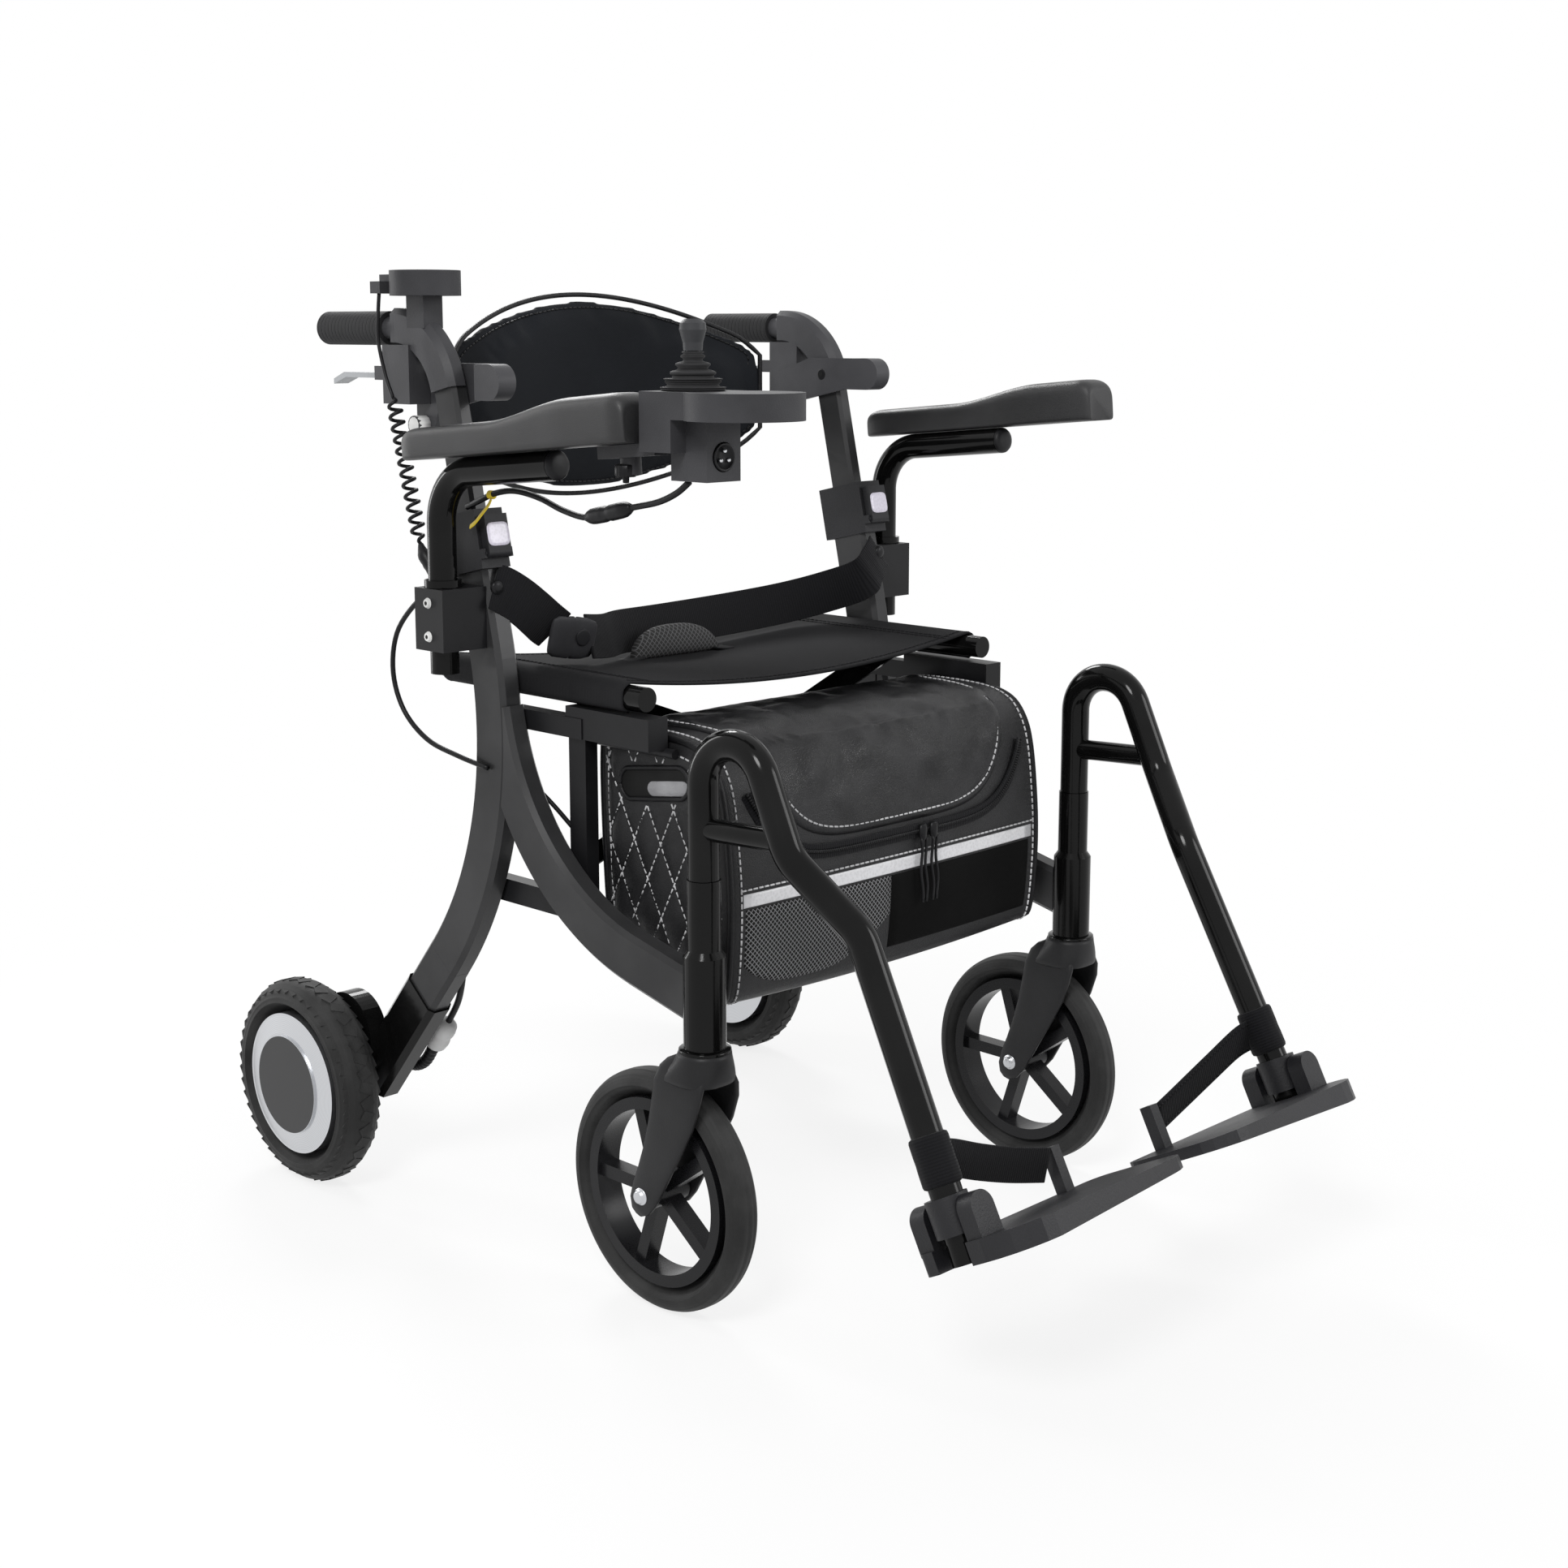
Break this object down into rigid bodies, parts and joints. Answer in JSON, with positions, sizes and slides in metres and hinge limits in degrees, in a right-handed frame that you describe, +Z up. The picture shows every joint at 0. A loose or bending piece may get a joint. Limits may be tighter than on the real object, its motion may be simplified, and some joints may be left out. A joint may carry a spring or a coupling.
{
  "type": "rollator transport chair",
  "caption": "Folding powered rollator chair: side frames on a cross brace, casters and hub-motor wheels, swing-away footrests, joystick armrest, telescopic handles and bowed backrest.",
  "frame": {"origin": "on the floor, under the middle of the overall length and width", "axes": "+Z up, -Y to the front (the footplates), +X to the left side of a person seated in the chair"},
  "size_m": [0.604, 0.9106, 0.8339],
  "materials": {
    "frame_paint": "satin",
    "bracket_paint": "satin",
    "tyre": "matte",
    "hub_silver": "brushed",
    "fork_plastic": "matte",
    "rim_plastic": "satin",
    "gloss_black": "gloss",
    "plate_plastic": "matte",
    "webbing": "woven",
    "armrest_foam": "fine grain",
    "clip_plastic": "matte",
    "handle_plastic": "matte",
    "grip_rubber": "matte",
    "lever_grey": "satin",
    "seat_fabric": "woven",
    "bag_leather": "soft sheen",
    "back_fabric": "mesh weave",
    "control_plastic": "matte",
    "boot_rubber": "satin",
    "stick_plastic": "satin",
    "handle_fabric": "knit",
    "cable": "satin"
  },
  "bodies": {
    "right_frame": {"right_rear_leg": "frame_paint", "right_front_leg": "frame_paint", "right_motor_bracket": "bracket_paint", "right_side_bracket": "bracket_paint", "right_armrest_bracket": "bracket_paint", "right_height_clip": "clip_plastic", "under_seat_bag": "bag_leather", "lap_belt": "webbing", "coil_cord": "cable", "frame_cables": "cable"},
    "right_brace": {"right_cross_arm": "gloss_black"},
    "left_brace": {"left_cross_arm": "gloss_black"},
    "left_frame": {"left_rear_leg": "frame_paint", "left_front_leg": "frame_paint", "left_motor_bracket": "bracket_paint", "left_side_bracket": "bracket_paint", "left_armrest_bracket": "bracket_paint", "left_height_clip": "clip_plastic"},
    "seat": {"seat_sling": "seat_fabric", "seat_handle": "handle_fabric"},
    "right_drive_wheel": {"right_hub_motor": "hub_silver", "right_drive_tyre": "tyre"},
    "right_caster": {"right_caster_fork": "fork_plastic"},
    "right_caster_wheel": {"right_caster_rim": "rim_plastic", "right_caster_tyre": "tyre"},
    "right_footrest": {"right_hanger": "gloss_black", "right_footplate_block": "plate_plastic", "right_heel_strap": "webbing"},
    "right_plate": {"right_footplate": "plate_plastic"},
    "right_armrest": {"right_armrest_tube": "gloss_black", "right_armrest_pad": "armrest_foam", "joystick_box": "control_plastic", "joystick_cable": "cable"},
    "right_handle": {"right_upper_tube": "frame_paint", "right_handle_arc": "handle_plastic", "right_grip": "grip_rubber", "attendant_pod": "control_plastic"},
    "right_brake": {"right_brake_lever": "lever_grey"},
    "right_backrest": {"right_backrest_arm": "handle_plastic", "backrest_pad": "back_fabric"},
    "right_clip": {"right_clip_lever": "clip_plastic"},
    "left_drive_wheel": {"left_hub_motor": "hub_silver", "left_drive_tyre": "tyre"},
    "left_caster": {"left_caster_fork": "fork_plastic"},
    "left_caster_wheel": {"left_caster_rim": "rim_plastic", "left_caster_tyre": "tyre"},
    "left_footrest": {"left_hanger": "gloss_black", "left_footplate_block": "plate_plastic", "left_heel_strap": "webbing"},
    "left_plate": {"left_footplate": "plate_plastic"},
    "left_armrest": {"left_armrest_tube": "gloss_black", "left_armrest_pad": "armrest_foam"},
    "left_handle": {"left_upper_tube": "frame_paint", "left_handle_arc": "handle_plastic", "left_grip": "grip_rubber"},
    "left_brake": {"left_brake_lever": "lever_grey"},
    "left_backrest": {"left_backrest_arm": "handle_plastic"},
    "left_clip": {"left_clip_lever": "clip_plastic"},
    "joystick_gimbal": {"joystick_boot": "boot_rubber"},
    "joystick": {"joystick_stick": "stick_plastic"}
  },
  "joints": [
    {"name": "fold", "type": "hinge", "parent": "right_frame", "child": "right_brace", "pos_m": [-0.209, 0.06283, 0.338], "axis": [0, -1, 0], "range_deg": [0, 44], "deforming": ["seat_sling", "under_seat_bag", "backrest_pad", "lap_belt", "seat_handle"]},
    {"name": "brace_centre", "type": "hinge", "parent": "right_brace", "child": "left_brace", "pos_m": [0, 0.06283, 0.4155], "axis": [0, 1, 0], "range_deg": [0, 88]},
    {"name": "left_frame_pivot", "type": "hinge", "parent": "left_brace", "child": "left_frame", "pos_m": [0.209, 0.06283, 0.338], "axis": [0, -1, 0], "range_deg": [0, 44]},
    {"name": "seat_rise", "type": "slide", "parent": "right_frame", "child": "seat", "axis": [0, 0, 1], "range_m": [0, 0.24686]},
    {"name": "right_drive_spin", "type": "hinge", "parent": "right_frame", "child": "right_drive_wheel", "pos_m": [-0.277, 0.36033, 0.095], "axis": [1, 0, 0], "continuous": true},
    {"name": "right_caster_swivel", "type": "hinge", "parent": "right_frame", "child": "right_caster", "pos_m": [-0.2335, -0.13467, 0.231], "axis": [0, 0, 1], "continuous": true},
    {"name": "right_caster_spin", "type": "hinge", "parent": "right_caster", "child": "right_caster_wheel", "pos_m": [-0.2335, -0.08467, 0.1], "axis": [1, 0, 0], "continuous": true},
    {"name": "right_footrest_swing", "type": "hinge", "parent": "right_frame", "child": "right_footrest", "pos_m": [-0.2335, -0.13467, 0.366], "axis": [0, 0, -1], "range_deg": [0, 90]},
    {"name": "right_plate_flip", "type": "hinge", "parent": "right_footrest", "child": "right_plate", "pos_m": [-0.216, -0.37482, 0.15681], "axis": [0, -0.8837, 0.4681], "range_deg": [0, 88], "deforming": ["right_heel_strap"]},
    {"name": "right_armrest_height", "type": "slide", "parent": "right_frame", "child": "right_armrest", "axis": [0, 0, 1], "range_m": [0, 0.045], "deforming": ["joystick_cable"]},
    {"name": "right_handle_height", "type": "slide", "parent": "right_frame", "child": "right_handle", "axis": [0, 0.2164, 0.9763], "range_m": [-0.045, 0.05], "deforming": ["coil_cord"]},
    {"name": "right_brake_pull", "type": "hinge", "parent": "right_handle", "child": "right_brake", "pos_m": [-0.234, 0.25868, 0.74785], "axis": [1, 0, 0], "range_deg": [0, 15], "stiffness_Nm_per_rad": 0.8, "springref_deg": -2.86},
    {"name": "right_backrest_tilt", "type": "hinge", "parent": "right_handle", "child": "right_backrest", "pos_m": [-0.209, 0.17552, 0.74078], "axis": [1, 0, 0], "range_deg": [-8, 8]},
    {"name": "right_clip_open", "type": "hinge", "parent": "right_frame", "child": "right_clip", "pos_m": [-0.232, 0.11203, 0.60224], "axis": [1, 0, 0], "range_deg": [0, 75]},
    {"name": "left_drive_spin", "type": "hinge", "parent": "left_frame", "child": "left_drive_wheel", "pos_m": [0.277, 0.36033, 0.095], "axis": [1, 0, 0], "continuous": true},
    {"name": "left_caster_swivel", "type": "hinge", "parent": "left_frame", "child": "left_caster", "pos_m": [0.2335, -0.13467, 0.231], "axis": [0, 0, 1], "continuous": true},
    {"name": "left_caster_spin", "type": "hinge", "parent": "left_caster", "child": "left_caster_wheel", "pos_m": [0.2335, -0.08467, 0.1], "axis": [1, 0, 0], "continuous": true},
    {"name": "left_footrest_swing", "type": "hinge", "parent": "left_frame", "child": "left_footrest", "pos_m": [0.2335, -0.13467, 0.366], "axis": [0, 0, 1], "range_deg": [0, 90]},
    {"name": "left_plate_flip", "type": "hinge", "parent": "left_footrest", "child": "left_plate", "pos_m": [0.216, -0.37482, 0.15681], "axis": [0, 0.8837, -0.4681], "range_deg": [0, 88], "deforming": ["left_heel_strap"]},
    {"name": "left_armrest_height", "type": "slide", "parent": "left_frame", "child": "left_armrest", "axis": [0, 0, 1], "range_m": [0, 0.045]},
    {"name": "left_handle_height", "type": "slide", "parent": "left_frame", "child": "left_handle", "axis": [0, 0.2164, 0.9763], "range_m": [-0.045, 0.05]},
    {"name": "left_brake_pull", "type": "hinge", "parent": "left_handle", "child": "left_brake", "pos_m": [0.234, 0.25868, 0.74785], "axis": [1, 0, 0], "range_deg": [0, 15], "stiffness_Nm_per_rad": 0.8, "springref_deg": -2.86},
    {"name": "left_backrest_tilt", "type": "hinge", "parent": "left_handle", "child": "left_backrest", "pos_m": [0.209, 0.17552, 0.74078], "axis": [1, 0, 0], "range_deg": [-8, 8]},
    {"name": "left_clip_open", "type": "hinge", "parent": "left_frame", "child": "left_clip", "pos_m": [0.232, 0.11203, 0.60224], "axis": [1, 0, 0], "range_deg": [0, 75]},
    {"name": "joystick_fore_aft", "type": "hinge", "parent": "right_armrest", "child": "joystick_gimbal", "pos_m": [-0.258, -0.15268, 0.74294], "axis": [1, 0, 0], "range_deg": [-15, 15], "stiffness_Nm_per_rad": 0.3, "deforming": ["joystick_boot"]},
    {"name": "joystick_side", "type": "hinge", "parent": "joystick_gimbal", "child": "joystick", "pos_m": [-0.258, -0.15268, 0.74294], "axis": [0, 1, 0], "range_deg": [-15, 15], "stiffness_Nm_per_rad": 0.3, "deforming": ["joystick_boot"]}
  ],
  "couplings": [
    {"joint": "brace_centre", "follows": "fold", "ratio": 2},
    {"joint": "left_frame_pivot", "follows": "fold", "ratio": 1},
    {"joint": "seat_rise", "follows": "fold", "m_per_rad": 0.32146},
    {"joint": "right_plate_flip", "follows": "fold", "ratio": 2},
    {"joint": "left_plate_flip", "follows": "fold", "ratio": 2},
    {"joint": "left_handle_height", "follows": "right_handle_height", "ratio": 1},
    {"joint": "left_backrest_tilt", "follows": "right_backrest_tilt", "ratio": 1}
  ]
}
